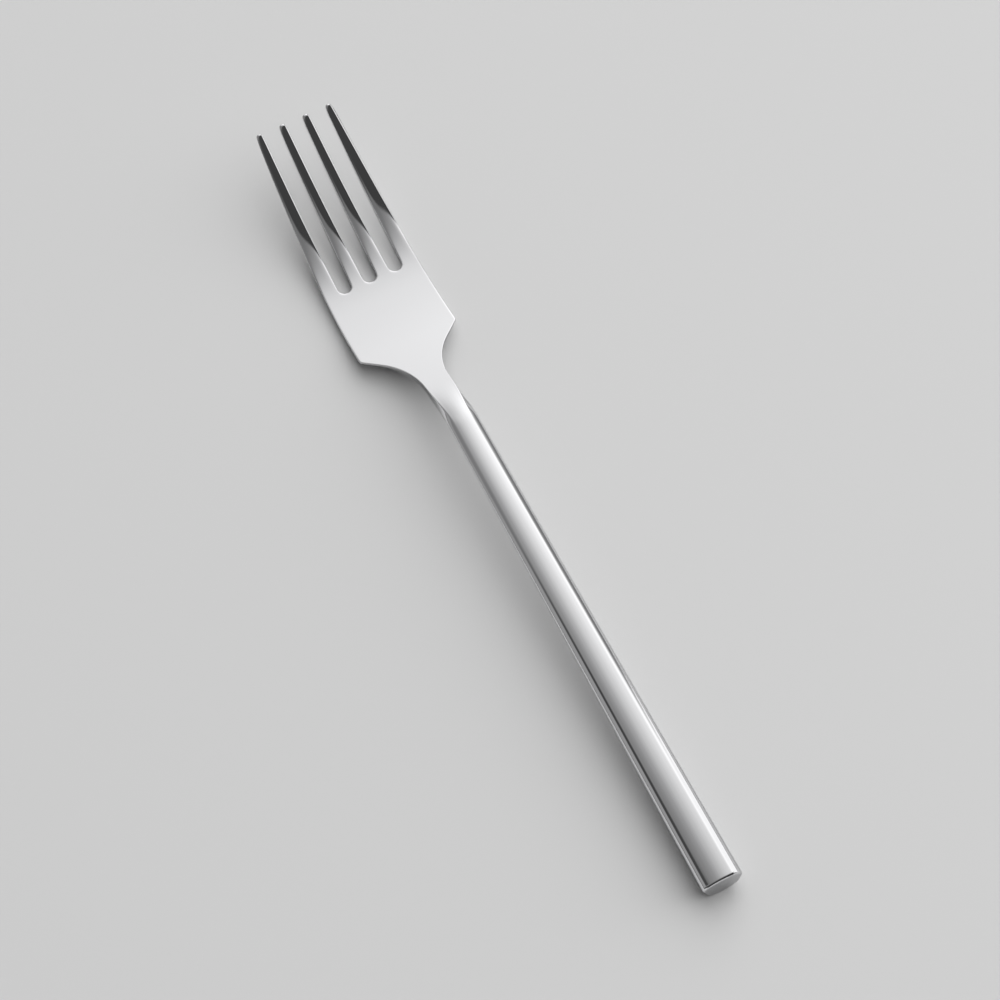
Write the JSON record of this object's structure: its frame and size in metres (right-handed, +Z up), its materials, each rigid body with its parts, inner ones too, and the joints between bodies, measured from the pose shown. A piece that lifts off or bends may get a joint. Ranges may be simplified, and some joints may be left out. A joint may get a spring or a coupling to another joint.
{
  "type": "dinner fork",
  "caption": "Polished steel dinner fork with a slim square-ended bar handle ground flat on top, angular shoulders and long straight tapered tines.",
  "frame": {"origin": "on the table, midway along the fork's length, in the plane that halves it", "axes": "+X along the fork towards the tips of the tines, +Y across the head, +Z up from the table with the concave face of the head on top"},
  "size_m": [0.206, 0.0244, 0.0142],
  "materials": {
    "polished_steel": "mirror-polished stainless steel with faint handling marks"
  },
  "bodies": {
    "root": {"fork": "polished_steel"}
  },
  "joints": []
}
